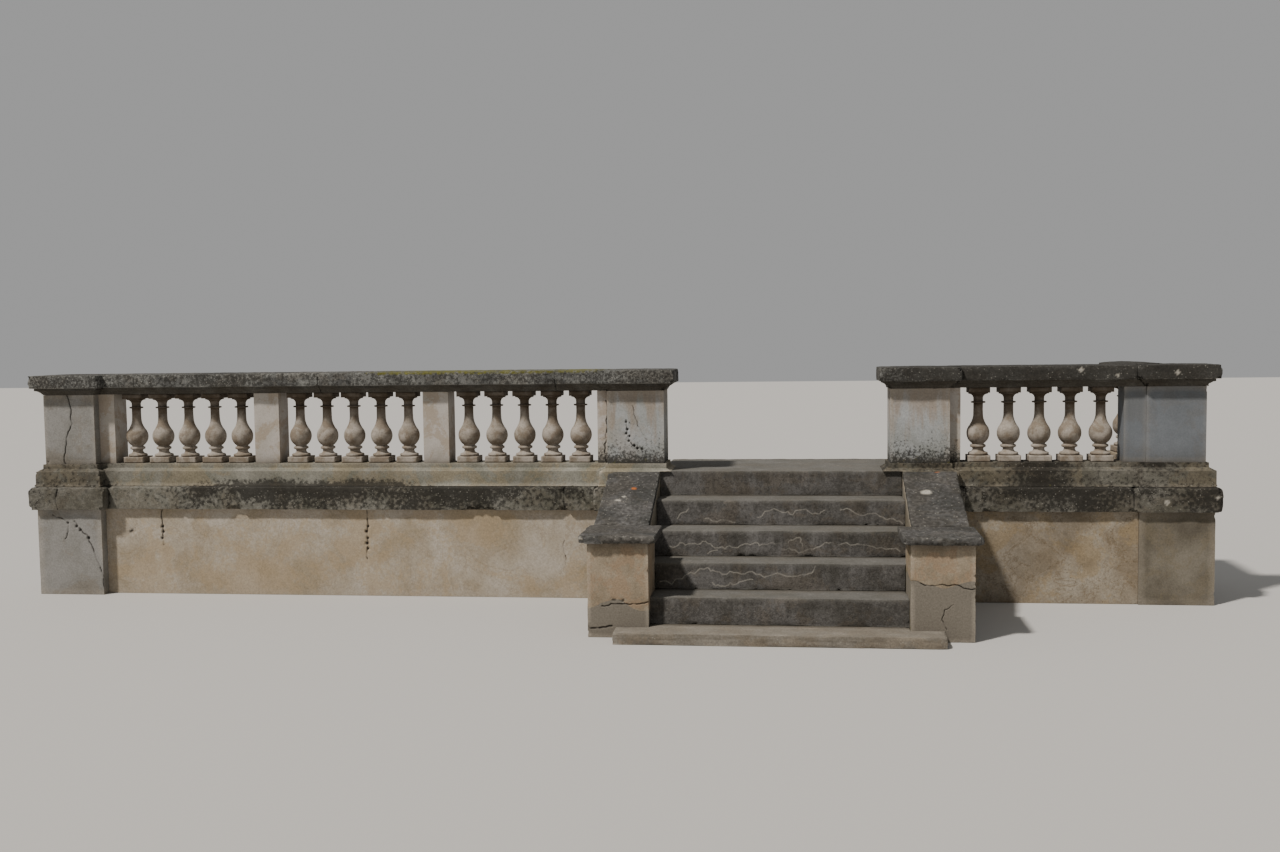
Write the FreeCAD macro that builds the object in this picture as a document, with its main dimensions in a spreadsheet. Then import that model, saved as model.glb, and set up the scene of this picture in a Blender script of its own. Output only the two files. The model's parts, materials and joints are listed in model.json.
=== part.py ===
import FreeCAD, Part
import math
import os

import Sketcher

# Garden stair between two balustraded terrace walls, in millimetres.
# X runs along the wall with 0 at the middle of the stair, Y runs up the stair with 0 at the
# front face of the dies, and Z is up from the ground at the foot of the stair.
SIZES = {
    # stair
    "riser_height": 176,
    "tread_depth": 283,
    "plinth_slab_height": 72,
    "plinth_slab_reach": 283,
    "plinth_slab_width": 2080,
    "stair_width": 1740,
    "stair_shift": 28,
    "step_lap": 30,
    "nosing_line": 88,
    "landing_back": 872,
    "passage_width": 1630,
    # wall section, bottom to top
    "wall_thickness": 188,
    "dado_height": 661,
    "dado_projection": 55,
    "band_height": 165,
    "band_slope": 12,
    "band_projection": 98,
    "base_roll": 15,
    "base_face": 98,
    "base_slope": 22,
    "base_fillet": 33,
    "base_projection": 57,
    "fillet_projection": 16,
    "die_height": 535,
    "hollow_radius": 34,
    "hollow_inset": 12,
    "bed_fillet": 19,
    "coping_overhang": 78,
    "coping_face": 98,
    "coping_crown": 8,
    # piers and bays
    "inner_pier_width": 420,
    "inner_pier_break": 56,
    "inner_respond": 80,
    "bay_gap": 1130,
    "divider_width": 196,
    "end_respond": 126,
    "end_pier_width": 410,
    "end_pier_break": 75,
    "corner_respond": 150,
    "corner_pier_width": 404,
    "corner_pier_break": 16,
    "return_line": 55,
    "return_respond": 94,
    "return_end": 970,
    # balusters
    "baluster_spacing": 214,
    "block_side": 158,
    "block_height": 46,
    "abacus_side": 150,
    "abacus_height": 38,
    "foot_radius": 60,
    "foot_roll": 11,
    "scotia_radius": 37,
    "scotia_level": 90,
    "ring_radius": 55,
    "ring_level": 104,
    "ring_height": 18,
    "bulb_foot_radius": 42,
    "bulb_foot_level": 130,
    "bulb_shoulder_radius": 60,
    "bulb_shoulder_level": 262,
    "bulb_offset": 7,
    "bulb_middle": 204,
    "neck_radius": 34,
    "neck_level": 345,
    "neck_sweep": 179,
    "astragal_radius": 48,
    "astragal_drop": 107,
    "astragal_roll": 6,
    "cap_flare": 34,
    "cap_fillet": 9,
    # cheeks beside the stair
    "ramp_width": 378,
    "ramp_foot_level": 668,
    "ramp_thickness": 53,
    "ramp_head_reach": 116,
    "pedestal_gap": 1655,
    "pedestal_width": 398,
    "pedestal_front": 1309,
    "pedestal_back": 905,
    "cap_overhang": 50,
}
BALUSTERS_IN_BAY = 5
BALUSTERS_IN_RETURN = 3
STEPS = 4

doc = FreeCAD.newDocument("garden_stair")
sheet = doc.addObject("Spreadsheet::Sheet", "sizes")
for row, (alias, number) in enumerate(SIZES.items(), start=1):
    sheet.set(f"A{row}", alias)
    sheet.set(f"B{row}", str(number))
    sheet.setAlias(f"B{row}", alias)
doc.recompute()


# A formula is text such as "0.5*bay_gap + die_height", a sum of sizes with factors.
def terms(formula):
    found = []
    sign = 1.0
    for word in formula.split():
        if word in ("+", "-"):
            sign = 1.0 if word == "+" else -1.0
            continue
        factor, _, alias = word.rpartition("*")
        found.append((sign * float(factor or 1), alias))
        sign = 1.0
    return found


def amount(formula):
    return sum(factor * SIZES[alias] for factor, alias in terms(formula))


def cells(formula):
    return " + ".join(f"{factor:g} * sizes.{alias}" for factor, alias in terms(formula)) or "0"


def less(formula, taken=""):
    """The first formula minus the second."""
    return " + ".join([formula] + [f"{-factor:g}*{alias}" for factor, alias in terms(taken)])


def negative(formula):
    return " + ".join(f"{-factor:g}*{alias}" for factor, alias in terms(formula))


def side(direction, formula):
    return formula if direction > 0 else negative(formula)


def set_sizes(item, formulas):
    for name, formula in formulas.items():
        item.setExpression(name, cells(formula))


def place(item, x="", y="", z=""):
    set_sizes(item, {"Placement.Base.x": x, "Placement.Base.y": y, "Placement.Base.z": z})


# Levels of the wall section above the ground.
BAND_FOOT = "dado_height"
BASE_FOOT = BAND_FOOT + " + band_height + band_slope"
DIE_FOOT = BASE_FOOT + " + base_roll + base_face + base_slope + base_fillet"
BED_FOOT = DIE_FOOT + " + die_height"
LANDING = f"plinth_slab_height + {STEPS + 1}*riser_height"
MIDDLE = "0.5*wall_thickness"

# Places along the wall, measured outwards from the middle of the stair.
PIER_INSIDE = "0.5*passage_width"
PIER_OUTSIDE = PIER_INSIDE + " + inner_pier_width"
BAY_1 = PIER_OUTSIDE + " + inner_respond"
BAY_2 = BAY_1 + " + bay_gap + divider_width"
BAY_3 = BAY_2 + " + bay_gap + divider_width"
END_RESPOND = BAY_3 + " + bay_gap"
END_PIER = END_RESPOND + " + end_respond"
CORNER_RESPOND = BAY_1 + " + bay_gap"
CORNER_PIER = CORNER_RESPOND + " + corner_respond"

# The stair and its cheeks stand a little to one side of the passage between the piers.
STAIR_FACE = "0.5*stair_width"
STAIR_LEFT = "-0.5*stair_width + stair_shift"

# Half outlines of the courses: how far each corner stands out from the face of the die and how
# high it is above the foot of the course. A third entry is the centre of the arc to that corner.
BAND_OUTLINE = [
    ("band_projection", ""),
    ("band_projection", "band_height"),
    ("base_projection", "band_height + band_slope"),
]
BASE_OUTLINE = [
    ("base_projection", ""),
    ("base_projection", "base_roll", ("base_projection", "0.5*base_roll")),
    ("base_projection", "base_roll + base_face"),
    ("fillet_projection", "base_roll + base_face + base_slope"),
    ("fillet_projection", "base_roll + base_face + base_slope + base_fillet"),
]
COPING_OUTLINE = [
    ("hollow_inset", ""),
    ("hollow_inset + hollow_radius", "hollow_radius", ("hollow_inset + hollow_radius", "")),
    ("hollow_inset + hollow_radius", "hollow_radius + bed_fillet"),
    ("coping_overhang", "hollow_radius + bed_fillet"),
    ("coping_overhang", "hollow_radius + bed_fillet + coping_face"),
]
COPING_RIDGE = "hollow_radius + bed_fillet + coping_face + coping_crown"


def joined(first, second):
    return f"{first} + {second}" if first and second else first or second


def whole_outline(outline, half, ridge=None):
    """Mirror a half outline about the middle, going up one side and down the other."""
    right = []
    left = []
    for out, up, *arc in outline:
        centre = (joined(half, arc[0][0]), arc[0][1]) if arc else None
        right.append((joined(half, out), up, centre))
    for number in range(len(right) - 1, -1, -1):
        out, up, _ = right[number]
        centre = right[number + 1][2] if number + 1 < len(right) else None
        left.append((negative(out), up, centre and (negative(centre[0]), centre[1])))
    top = [("", ridge, None)] if ridge else []
    return right + top + left


def origin_plane(body, role):
    return next(item for item in body.Origin.OriginFeatures if item.Role == role)


def outline_sketch(body, name, plane, corners):
    """A closed sketch through the corners, each one held to the sheet by its two distances."""
    sketch = body.newObject("Sketcher::SketchObject", name)
    sketch.AttachmentSupport = [(origin_plane(body, plane), "")]
    sketch.MapMode = "FlatFace"
    points = [FreeCAD.Vector(amount(out), amount(up), 0) for out, up, *_ in corners]
    ends = []
    for number, corner in enumerate(corners):
        before, after = points[number - 1], points[number]
        centre = corner[2] if len(corner) > 2 else None
        if not centre:
            line = sketch.addGeometry(Part.LineSegment(before, after), False)
            ends.append((line, 1, 2))
            continue
        middle = FreeCAD.Vector(amount(centre[0]), amount(centre[1]), 0)
        start, finish = before - middle, after - middle
        turns_left = start.cross(finish).z > -1e-6
        first, last = (start, finish) if turns_left else (finish, start)
        opening = math.atan2(first.y, first.x)
        closing = math.atan2(last.y, last.x)
        if closing < opening:
            closing += 2 * math.pi
        circle = Part.Circle(middle, FreeCAD.Vector(0, 0, 1), start.Length)
        arc = sketch.addGeometry(Part.ArcOfCircle(circle, opening, closing), False)
        ends.append((arc, 1, 2) if turns_left else (arc, 2, 1))
    for number, (edge, start, _) in enumerate(ends):
        previous, _, finish = ends[number - 1]
        sketch.addConstraint(Sketcher.Constraint("Coincident", previous, finish, edge, start))
    for number, corner in enumerate(corners):
        edge, _, finish = ends[number]
        hold_point(sketch, edge, finish, corner[0], corner[1])
        if len(corner) > 2 and corner[2]:
            hold_centre(sketch, edge, corner)
    return sketch


def hold_point(sketch, edge, end, out, up):
    for kind, formula in (("DistanceX", out), ("DistanceY", up)):
        if abs(amount(formula)) < 1e-9 and not terms(formula):
            axis = -2 if kind == "DistanceX" else -1
            sketch.addConstraint(Sketcher.Constraint("PointOnObject", edge, end, axis))
            continue
        entry = sketch.addConstraint(
            Sketcher.Constraint(kind, -1, 1, edge, end, amount(formula)))
        sketch.setExpression(f"Constraints[{entry}]", cells(formula))


def hold_centre(sketch, edge, corner):
    """One distance is enough: the ends of the arc already fix the other."""
    out, up = corner[2]
    same_height = up == corner[1]
    kind, formula = ("DistanceY", up) if same_height or not terms(out) else ("DistanceX", out)
    if terms(formula):
        entry = sketch.addConstraint(
            Sketcher.Constraint(kind, -1, 1, edge, 3, amount(formula)))
        sketch.setExpression(f"Constraints[{entry}]", cells(formula))


def outlined_body(label, plane, corners, length, x="", y="", z="", both_ways=True):
    """A body whose outline is padded square to its plane."""
    body = doc.addObject("PartDesign::Body", label)
    sketch = outline_sketch(body, f"{label}_outline", plane, corners)
    pad = body.newObject("PartDesign::Pad", f"{label}_pad")
    pad.Profile = sketch
    pad.Midplane = both_ways
    pad.setExpression("Length", cells(length))
    place(body, x, y, z)
    return body


def block(label, length, width, height, x="", y="", z=""):
    box = doc.addObject("Part::Box", label)
    set_sizes(box, {"Length": length, "Width": width, "Height": height})
    place(box, x, y, z)
    return box


def fused(label, pieces):
    whole = doc.addObject("Part::MultiFuse", label)
    whole.Shapes = pieces
    whole.Refine = True
    return whole


def cut_by(label, piece, others):
    """The piece with the room that its neighbours take cut out of it."""
    result = doc.addObject("Part::Cut", label)
    result.Base = piece
    result.Tool = others[0] if len(others) == 1 else fused(f"{label}_neighbours", others)
    return result


def course(label, outline, ridge, start, end, foot):
    """A straight moulded course along the wall."""
    corners = whole_outline(outline, MIDDLE, ridge)
    length = less(end, start)
    return outlined_body(label, "YZ_Plane", corners, length, start, MIDDLE, foot, both_ways=False)


def mitred(label, outline, ridge, middle, half_width, step, foot):
    """A moulded block whose mouldings turn the corners of a pier."""
    half_depth = joined(MIDDLE, step)
    reach = "2*band_projection"
    along = outlined_body(f"{label}_along", "YZ_Plane", whole_outline(outline, half_depth, ridge),
                          f"{half_width} + {half_width} + {reach}", middle, MIDDLE, foot)
    across = outlined_body(f"{label}_across", "XZ_Plane",
                           whole_outline(outline, half_width, ridge),
                           f"{half_depth} + {half_depth} + {reach}", middle, MIDDLE, foot)
    corner = doc.addObject("Part::Common", label)
    corner.Base = along
    corner.Tool = across
    return corner


def pier(name, inside, width, step, direction, footing_inside=None):
    """A pier from the ground to its cap, between two faces measured from the stair.

    A footing that starts further out than the pier is plain on that side up to the landing, where
    the stair meets it.
    """
    half = f"0.5*{width}"
    middle = side(direction, f"{inside} + {half}")
    outside = f"{inside} + {width}"
    near = inside if direction > 0 else negative(outside)
    depth = f"wall_thickness + 2*{step}"
    footing_near = footing_inside or less(inside, "dado_projection")
    footing_width = less(f"{outside} + dado_projection", footing_near)
    footing_x = footing_near if direction > 0 else negative(f"{outside} + dado_projection")
    plinth = block(f"{name}_plinth", footing_width, f"{depth} + 2*dado_projection", BAND_FOOT,
                   footing_x, negative(f"{step} + dado_projection"))
    band = mitred(f"{name}_band", BAND_OUTLINE, None, middle, half, step, BAND_FOOT)
    base = mitred(f"{name}_base", BASE_OUTLINE, None, middle, half, step, BASE_FOOT)
    if footing_inside:
        room = block(f"{name}_stair_room", "0.5*passage_width", f"{depth} + 4*band_projection",
                     less(LANDING, BAND_FOOT),
                     less(footing_inside, "0.5*passage_width") if direction > 0
                     else negative(footing_inside),
                     negative(f"{step} + 2*band_projection"), BAND_FOOT)
        band = cut_by(f"{name}_band_kept", band, [room])
        base = cut_by(f"{name}_base_kept", base, [room])
    die = block(f"{name}_die", width, depth, "die_height", near, negative(step), DIE_FOOT)
    cap = mitred(f"{name}_cap", COPING_OUTLINE, COPING_RIDGE, middle, half, step, BED_FOOT)
    return {"plinth": plinth, "band": band, "base": base, "die": die, "cap": cap}


def post(label, start, width):
    return block(label, width, "wall_thickness", "die_height", start, "", DIE_FOOT)


BALUSTER_OUTLINE = [
    ("", "block_height"),
    ("foot_radius", "block_height"),
    ("foot_radius", "block_height + 2*foot_roll", ("foot_radius", "block_height + foot_roll")),
    ("scotia_radius", "scotia_level"),
    ("ring_radius", "ring_level"),
    ("ring_radius", "ring_level + ring_height"),
    ("bulb_foot_radius", "bulb_foot_level"),
    ("bulb_shoulder_radius", "bulb_shoulder_level", ("-1*bulb_offset", "bulb_middle")),
    ("neck_radius", "neck_level", ("neck_sweep", "neck_level")),
    ("neck_radius", "die_height - astragal_drop - astragal_roll"),
    ("astragal_radius", "die_height - astragal_drop - astragal_roll"),
    ("astragal_radius", "die_height - astragal_drop + astragal_roll",
     ("astragal_radius", "die_height - astragal_drop")),
    ("neck_radius", "die_height - astragal_drop + astragal_roll"),
    ("neck_radius", "die_height - abacus_height - cap_fillet - cap_flare"),
    ("neck_radius + cap_flare", "die_height - abacus_height - cap_fillet",
     ("neck_radius + cap_flare", "die_height - abacus_height - cap_fillet - cap_flare")),
    ("neck_radius + cap_flare", "die_height - abacus_height"),
    ("", "die_height - abacus_height"),
]


def square_pad(body, name, side_name, height, foot=""):
    half = f"0.5*{side_name}"
    corners = [(half, half), (negative(half), half), (negative(half), negative(half)),
               (half, negative(half))]
    sketch = outline_sketch(body, f"{name}_outline", "XY_Plane", corners)
    if foot:
        sketch.setExpression("AttachmentOffset.Base.z", cells(foot))
    pad = body.newObject("PartDesign::Pad", name)
    pad.Profile = sketch
    pad.setExpression("Length", cells(height))
    return pad


def baluster_row(label, count, x, y, along):
    """Turned balusters on square blocks, evenly spaced along X or Y."""
    body = doc.addObject("PartDesign::Body", label)
    foot = square_pad(body, f"{label}_block", "block_side", "block_height")
    shaft_sketch = outline_sketch(body, f"{label}_shaft_outline", "XZ_Plane", BALUSTER_OUTLINE)
    shaft = body.newObject("PartDesign::Revolution", f"{label}_shaft")
    shaft.Profile = shaft_sketch
    shaft.ReferenceAxis = (shaft_sketch, ["V_Axis"])
    shaft.Angle = 360
    head = square_pad(body, f"{label}_abacus", "abacus_side", "abacus_height",
                      "die_height - abacus_height")
    row = body.newObject("PartDesign::LinearPattern", f"{label}_row")
    row.Originals = [foot, shaft, head]
    row.Direction = (origin_plane(body, "X_Axis" if along == "x" else "Y_Axis"), [""])
    row.setExpression("Length", cells(f"{count - 1}*baluster_spacing"))
    row.Occurrences = count
    body.Tip = row
    place(body, x, y, DIE_FOOT)
    return body


parts = {}

# Piers, then the courses of each wing cut round their mouldings.
PIERS = {
    "left_inner_pier": (PIER_INSIDE, "inner_pier_width", "inner_pier_break", -1,
                        less(STAIR_FACE, "stair_shift")),
    "right_inner_pier": (PIER_INSIDE, "inner_pier_width", "inner_pier_break", 1,
                         STAIR_FACE + " + stair_shift"),
    "left_end_pier": (END_PIER, "end_pier_width", "end_pier_break", -1),
    "corner_pier": (CORNER_PIER, "corner_pier_width", "corner_pier_break", 1),
}
piers = {name: pier(name, *facts) for name, facts in PIERS.items()}
for name, pieces in piers.items():
    for kind, piece in pieces.items():
        parts[f"{name}_{kind}"] = piece

WINGS = {
    "left": (-1, "left_inner_pier", "left_end_pier", END_PIER),
    "right": (1, "right_inner_pier", "corner_pier", CORNER_PIER),
}
COURSES = {
    "band": (BAND_OUTLINE, None, BAND_FOOT),
    "base": (BASE_OUTLINE, None, BASE_FOOT),
    "coping": (COPING_OUTLINE, COPING_RIDGE, BED_FOOT),
}
for wing, (direction, inner, outer, far_face) in WINGS.items():
    for kind, (outline, ridge, foot) in COURSES.items():
        start, end = PIER_OUTSIDE, far_face
        if direction < 0:
            start, end = negative(far_face), negative(PIER_OUTSIDE)
        run = course(f"{wing}_{kind}_run", outline, ridge, start, end, foot)
        pier_kind = "cap" if kind == "coping" else kind
        neighbours = [piers[inner][pier_kind], piers[outer][pier_kind]]
        parts[f"{wing}_{kind}"] = cut_by(f"{wing}_{kind}", run, neighbours)
    wall_near = f"{PIER_OUTSIDE} + dado_projection"
    wall_length = less(far_face, f"{PIER_OUTSIDE} + 2*dado_projection")
    wall_x = wall_near if direction > 0 else negative(less(far_face, "dado_projection"))
    parts[f"{wing}_wall"] = block(f"{wing}_wall", wall_length,
                                  "wall_thickness + 2*dado_projection", BAND_FOOT,
                                  wall_x, "-1*dado_projection")

POSTS = {
    "left_inner_respond": (negative(BAY_1), "inner_respond"),
    "left_divider_1": (negative(BAY_2), "divider_width"),
    "left_divider_2": (negative(BAY_3), "divider_width"),
    "left_end_respond": (negative(END_PIER), "end_respond"),
    "right_inner_respond": (PIER_OUTSIDE, "inner_respond"),
    "corner_respond": (CORNER_RESPOND, "corner_respond"),
}
for name, (start, width) in POSTS.items():
    parts[name] = post(name, start, width)

# Balusters stand in the middle of each bay.
FIRST_BALUSTER = f"0.5*bay_gap - {0.5 * (BALUSTERS_IN_BAY - 1)}*baluster_spacing"
BAYS = {
    "left_balusters_1": negative(f"{BAY_1} + bay_gap"),
    "left_balusters_2": negative(f"{BAY_2} + bay_gap"),
    "left_balusters_3": negative(f"{BAY_3} + bay_gap"),
    "right_balusters": BAY_1,
}
for name, bay_start in BAYS.items():
    parts[name] = baluster_row(name, BALUSTERS_IN_BAY, joined(bay_start, FIRST_BALUSTER),
                               MIDDLE, "x")

# The short return behind the corner pier, its middle line set in from the pier's near side.
RETURN_MIDDLE = CORNER_PIER + " + return_line"
RETURN_FACE = less(RETURN_MIDDLE, MIDDLE)
RETURN_FIRST = f"return_end - {BALUSTERS_IN_RETURN - 0.5}*baluster_spacing"
RETURN_RESPOND_END = "wall_thickness + corner_pier_break + return_respond"
RETURN_OUTLINE = [("dado_projection", ""), ("dado_projection", BAND_FOOT)]
for out, up, *centre in BAND_OUTLINE:
    RETURN_OUTLINE.append((out, joined(BAND_FOOT, up)))
for out, up, *centre in BASE_OUTLINE[1:]:
    arc = [(out, joined(BASE_FOOT, centre[0][1]))] if centre else []
    RETURN_OUTLINE.append((out, joined(BASE_FOOT, up), *arc))


def return_run(label, outline, ridge, foot):
    return outlined_body(label, "XZ_Plane", whole_outline(outline, MIDDLE, ridge),
                         less("return_end", MIDDLE), RETURN_MIDDLE, "return_end", foot,
                         both_ways=False)


corner = piers["corner_pier"]
wall_run = return_run("return_wall_run", RETURN_OUTLINE, None, "")
parts["return_wall"] = cut_by("return_wall", wall_run, [
    corner["plinth"], corner["band"], corner["base"],
    parts["right_wall"], parts["right_band"], parts["right_base"]])
coping_run = return_run("return_coping_run", COPING_OUTLINE, COPING_RIDGE, BED_FOOT)
parts["return_coping"] = cut_by("return_coping", coping_run, [corner["cap"], parts["right_coping"]])
respond_run = block("return_respond_run", "wall_thickness", less(RETURN_RESPOND_END, MIDDLE),
                    "die_height", RETURN_FACE, MIDDLE, DIE_FOOT)
parts["return_respond"] = cut_by("return_respond", respond_run,
                                 [corner["die"], parts["corner_respond"]])
parts["return_balusters"] = baluster_row("return_balusters", BALUSTERS_IN_RETURN,
                                         RETURN_MIDDLE, RETURN_FIRST, "y")

# The stair: a low slab at the foot, block steps that lap each other, and the landing.
FOOT_RISER = f"-1*nosing_line + {-STEPS}*tread_depth"
LAPPED_TREAD = "tread_depth + step_lap"


def step_front(number):
    """Where the riser of a step stands, counted from the lowest."""
    return f"-1*nosing_line + {number - 1 - STEPS}*tread_depth"


def step_top(number):
    return f"plinth_slab_height + {number}*riser_height"


for number in range(1, STEPS + 1):
    label = f"step_{number}"
    parts[label] = block(label, "stair_width", LAPPED_TREAD, "riser_height",
                         STAIR_LEFT, step_front(number), step_top(number - 1))

slab_run = block("bottom_slab_run", "plinth_slab_width", "plinth_slab_reach + step_lap",
                 "plinth_slab_height", "-0.5*plinth_slab_width + stair_shift",
                 less(FOOT_RISER, "plinth_slab_reach"))
landing_run = block("landing_slab_run", "stair_width", "nosing_line + landing_back", "riser_height",
                    STAIR_LEFT, "-1*nosing_line", step_top(STEPS))

core_outline = [(joined(FOOT_RISER, "step_lap"), "")]
for number in range(1, STEPS + 2):
    foot = step_top(number - 1)
    core_outline.append((joined(step_front(number), "step_lap"), foot))
    if number <= STEPS:
        core_outline.append((joined(step_front(number + 1), "step_lap"), foot))
core_outline.append(("landing_back", step_top(STEPS)))
core_outline.append(("landing_back", ""))
core_run = outlined_body("stair_core_run", "YZ_Plane", core_outline, "stair_width", "stair_shift")


# The cheeks: a sloping slab on a low wall, stopped by a capped pedestal. The pedestals stand
# closer together than the cheeks.
def cheek(name, direction):
    pier_pieces = piers[f"{name}_inner_pier"]
    neighbours = [pier_pieces[kind] for kind in ("plinth", "band", "base", "die")]
    neighbours += [parts[f"{name}_{kind}"] for kind in ("wall", "band", "base")]
    middle = side(direction, f"{STAIR_FACE} + 0.5*ramp_width") + " + stair_shift"
    cap_back = "-1*pedestal_back + cap_overhang"
    cap_foot = "ramp_foot_level - ramp_thickness"
    pier_front = "-1*inner_pier_break"
    ramp_outline = [
        (cap_back, cap_foot),
        ("-1*ramp_head_reach", less(LANDING, "ramp_thickness")),
        (pier_front, less(LANDING, "ramp_thickness")),
        (pier_front, LANDING),
        ("-1*ramp_head_reach", LANDING),
        (cap_back, "ramp_foot_level"),
    ]
    ramp = outlined_body(f"{name}_ramp_run", "YZ_Plane", ramp_outline, "ramp_width", middle)
    wall_outline = [
        ("-1*pedestal_back", ""),
        (pier_front, ""),
        (pier_front, less(LANDING, "ramp_thickness")),
        ("-1*ramp_head_reach", less(LANDING, "ramp_thickness")),
        (cap_back, cap_foot),
        ("-1*pedestal_back", cap_foot),
    ]
    wall = outlined_body(f"{name}_cheek_run", "YZ_Plane", wall_outline, "ramp_width", middle)
    parts[f"{name}_ramp_slab"] = cut_by(f"{name}_ramp_slab", ramp, neighbours)
    parts[f"{name}_cheek_wall"] = cut_by(f"{name}_cheek_wall", wall, neighbours)
    inner_face = side(direction, "0.5*pedestal_gap") + " + stair_shift"
    pedestal_near = inner_face if direction > 0 else less(inner_face, "pedestal_width")
    depth = "pedestal_front - pedestal_back"
    parts[f"{name}_pedestal"] = block(f"{name}_pedestal", "pedestal_width", depth, cap_foot,
                                      pedestal_near, "-1*pedestal_front")
    parts[f"{name}_pedestal_cap"] = block(
        f"{name}_pedestal_cap", "pedestal_width + 2*cap_overhang", f"{depth} + 2*cap_overhang",
        "ramp_thickness", less(pedestal_near, "cap_overhang"),
        "-1*pedestal_front - cap_overhang", cap_foot)


cheek("left", -1)
cheek("right", 1)

footings = [piers[name][kind] for name in ("left_inner_pier", "right_inner_pier")
            for kind in ("plinth", "band", "base", "die")]
pedestals = [parts["left_pedestal"], parts["right_pedestal"]]
parts["bottom_slab"] = cut_by("bottom_slab", slab_run, pedestals)
for label in ("step_1", "step_2"):
    parts[label] = cut_by(f"{label}_cut", parts[label], pedestals)
parts["landing_slab"] = cut_by("landing_slab", landing_run, footings)
parts["stair_core"] = cut_by("stair_core", core_run, footings + pedestals)

doc.recompute()
failed = [item.Name for item in doc.Objects if {"Invalid", "Error"} & set(item.State)]
if failed:
    raise SystemExit(f"These objects failed: {failed}")
for node, piece in parts.items():
    if piece.Shape.isNull() or not piece.Shape.isValid() or not piece.Shape.Solids:
        raise SystemExit(f"{node} has no sound solid")

os.makedirs("parts", exist_ok=True)
for node, piece in parts.items():
    piece.Label = node
    piece.Shape.exportStep(f"parts/{node}.step")
print(len(parts), "parts written")
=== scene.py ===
import json
import math

import bmesh
import bpy
import numpy as np
from mathutils import Matrix, Vector

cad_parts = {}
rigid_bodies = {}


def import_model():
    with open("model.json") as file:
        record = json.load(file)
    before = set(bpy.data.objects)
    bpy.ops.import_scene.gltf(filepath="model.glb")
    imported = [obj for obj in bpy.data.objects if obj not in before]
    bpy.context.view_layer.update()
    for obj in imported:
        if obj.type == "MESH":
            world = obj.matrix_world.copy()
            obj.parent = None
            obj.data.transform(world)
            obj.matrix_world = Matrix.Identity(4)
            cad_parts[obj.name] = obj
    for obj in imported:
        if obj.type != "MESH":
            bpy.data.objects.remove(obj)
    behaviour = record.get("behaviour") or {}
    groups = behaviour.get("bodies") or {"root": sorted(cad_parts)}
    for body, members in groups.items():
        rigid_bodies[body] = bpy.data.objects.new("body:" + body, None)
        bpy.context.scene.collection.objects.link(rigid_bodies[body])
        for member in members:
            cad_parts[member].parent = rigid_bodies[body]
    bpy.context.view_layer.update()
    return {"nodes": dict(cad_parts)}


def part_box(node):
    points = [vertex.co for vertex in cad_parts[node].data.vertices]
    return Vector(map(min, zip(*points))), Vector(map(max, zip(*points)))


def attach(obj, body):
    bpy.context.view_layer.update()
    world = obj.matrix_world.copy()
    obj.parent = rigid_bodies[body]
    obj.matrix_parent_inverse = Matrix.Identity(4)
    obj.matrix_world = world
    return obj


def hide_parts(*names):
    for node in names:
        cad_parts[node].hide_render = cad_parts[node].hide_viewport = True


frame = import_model()
nodes = frame["nodes"]
scene = bpy.context.scene
print("frame loaded,", len(nodes), "nodes")

# camera at eye height in front of the stair, looking a little to the left
view = {"place": (0.1545, -9.558, 1.936), "turnLeft": 0.120, "tiltDown": 0.0683, "roll": 0.0128,
        "lens": 36.79, "sensor": 36.0, "farthest": 200}
turn, tilt, roll = view["turnLeft"], view["tiltDown"], view["roll"]
ahead = Vector((-math.sin(turn) * math.cos(tilt), math.cos(turn) * math.cos(tilt), -math.sin(tilt)))
level = Vector((math.cos(turn), math.sin(turn), 0))
down = ahead.cross(level)
across = level * math.cos(roll) + down * math.sin(roll)
upward = level * math.sin(roll) - down * math.cos(roll)
camera = bpy.data.objects.new("gardenCamera", bpy.data.cameras.new("gardenCamera"))
camera.data.lens = view["lens"]
camera.data.sensor_width = view["sensor"]
camera.data.clip_end = view["farthest"]
camera.matrix_world = Matrix((
    (across.x, upward.x, -ahead.x, view["place"][0]),
    (across.y, upward.y, -ahead.y, view["place"][1]),
    (across.z, upward.z, -ahead.z, view["place"][2]),
    (0, 0, 0, 1)))
scene.collection.objects.link(camera)
scene.camera = camera


def hexToLinear(text):
    channels = []
    for start in (1, 3, 5):
        value = int(text[start:start + 2], 16) / 255
        channels.append(value / 12.92 if value <= 0.04045 else ((value + 0.055) / 1.055) ** 2.4)
    return (*channels, 1.0)


def addNode(tree, kind, inputs=None, **settings):
    node = tree.nodes.new("ShaderNode" + kind)
    for key, value in settings.items():
        setattr(node, key, value)
    for key, value in (inputs or {}).items():
        socket = node.inputs[key]
        if isinstance(value, bpy.types.NodeSocket):
            tree.links.new(value, socket)
        else:
            socket.default_value = value
    return node


def perMetre(millimetres):
    return 1000.0 / millimetres


# light: a pale sky all round and one soft key from the upper left front
light = {"sky": "#f2f2f2", "skyStrength": 0.4, "sun": "#fff9f2", "sunStrength": 4.6, "sunAngle": 4.0,
         "sunTravel": (1.05, 1.0, -1.9), "sunPlace": (-6, -6, 6), "floor": "#b4b2ae",
         "floorSize": 90.0, "floorLevel": -0.001, "floorRoughness": 0.9}
world = bpy.data.worlds.new("paleSky")
world.use_nodes = True
sky = world.node_tree.nodes["Background"]
sky.inputs["Color"].default_value = hexToLinear(light["sky"])
sky.inputs["Strength"].default_value = light["skyStrength"]
scene.world = world
sun = bpy.data.objects.new("keyLight", bpy.data.lights.new("keyLight", "SUN"))
sun.data.energy = light["sunStrength"]
sun.data.color = hexToLinear(light["sun"])[:3]
sun.data.angle = math.radians(light["sunAngle"])
sun.rotation_euler = Vector(light["sunTravel"]).to_track_quat("-Z", "Y").to_euler()
sun.location = light["sunPlace"]
scene.collection.objects.link(sun)

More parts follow.
